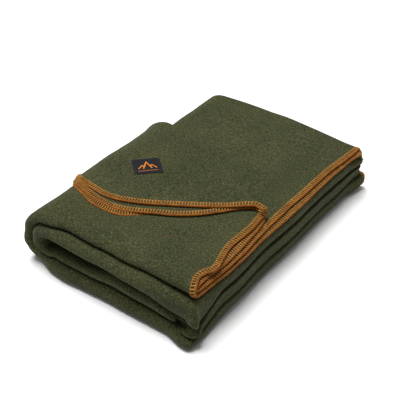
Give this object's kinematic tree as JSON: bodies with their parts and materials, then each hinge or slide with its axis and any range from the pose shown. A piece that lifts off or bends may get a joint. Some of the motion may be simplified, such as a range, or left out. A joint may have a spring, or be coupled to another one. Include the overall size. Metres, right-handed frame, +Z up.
{
  "type": "camp blanket",
  "caption": "Folded olive wool camp blanket with orange overcast edges; one corner is turned back over a diagonal and shows a small woven label.",
  "frame": {"origin": "centre of the folded pile's footprint, on the surface it lies on", "axes": "+Z up, +Y along the pile's long side away from the rounded near end, +X towards the side where the top fold's orange edges show"},
  "size_m": [0.382, 0.568, 0.1318],
  "materials": {
    "olive_wool": "felted wool, heathered olive green with rust flecks, matt with a soft nap",
    "orange_thread": "twisted rust-orange edge thread, close overcast stitches",
    "charcoal_label": "fine woven label, charcoal with an orange woven motif",
    "label_thread": "fine dark sewing thread"
  },
  "bodies": {
    "pile": {"cloth_base_fold": "olive_wool", "cloth_third_fold": "olive_wool", "cloth_second_fold": "olive_wool", "cloth_top_fold_lower": "olive_wool", "cloth_top_fold_upper": "olive_wool", "cloth_outer_wrap": "olive_wool", "cloth_inner_wrap": "olive_wool", "cloth_side_wrap": "olive_wool", "cloth_near_turn": "olive_wool", "edge_sewing_top_lower": "orange_thread", "edge_sewing_top_upper": "orange_thread", "edge_sewing_near_turn": "orange_thread", "edge_sewing_inner_end": "orange_thread", "edge_sewing_far_base": "orange_thread", "edge_sewing_far_third": "orange_thread", "edge_sewing_far_second": "orange_thread"},
    "corner": {"cloth_turned_corner": "olive_wool", "edge_sewing_corner_side": "orange_thread", "edge_sewing_corner_end": "orange_thread", "woven_label": "charcoal_label", "label_thread": "label_thread"}
  },
  "joints": [
    {"name": "corner_fold", "type": "hinge", "parent": "pile", "child": "corner", "pos_m": [0.17, -0.046, 0.11785], "axis": [-0.9189, 0.3946, 0], "range_deg": [0, 170]}
  ]
}
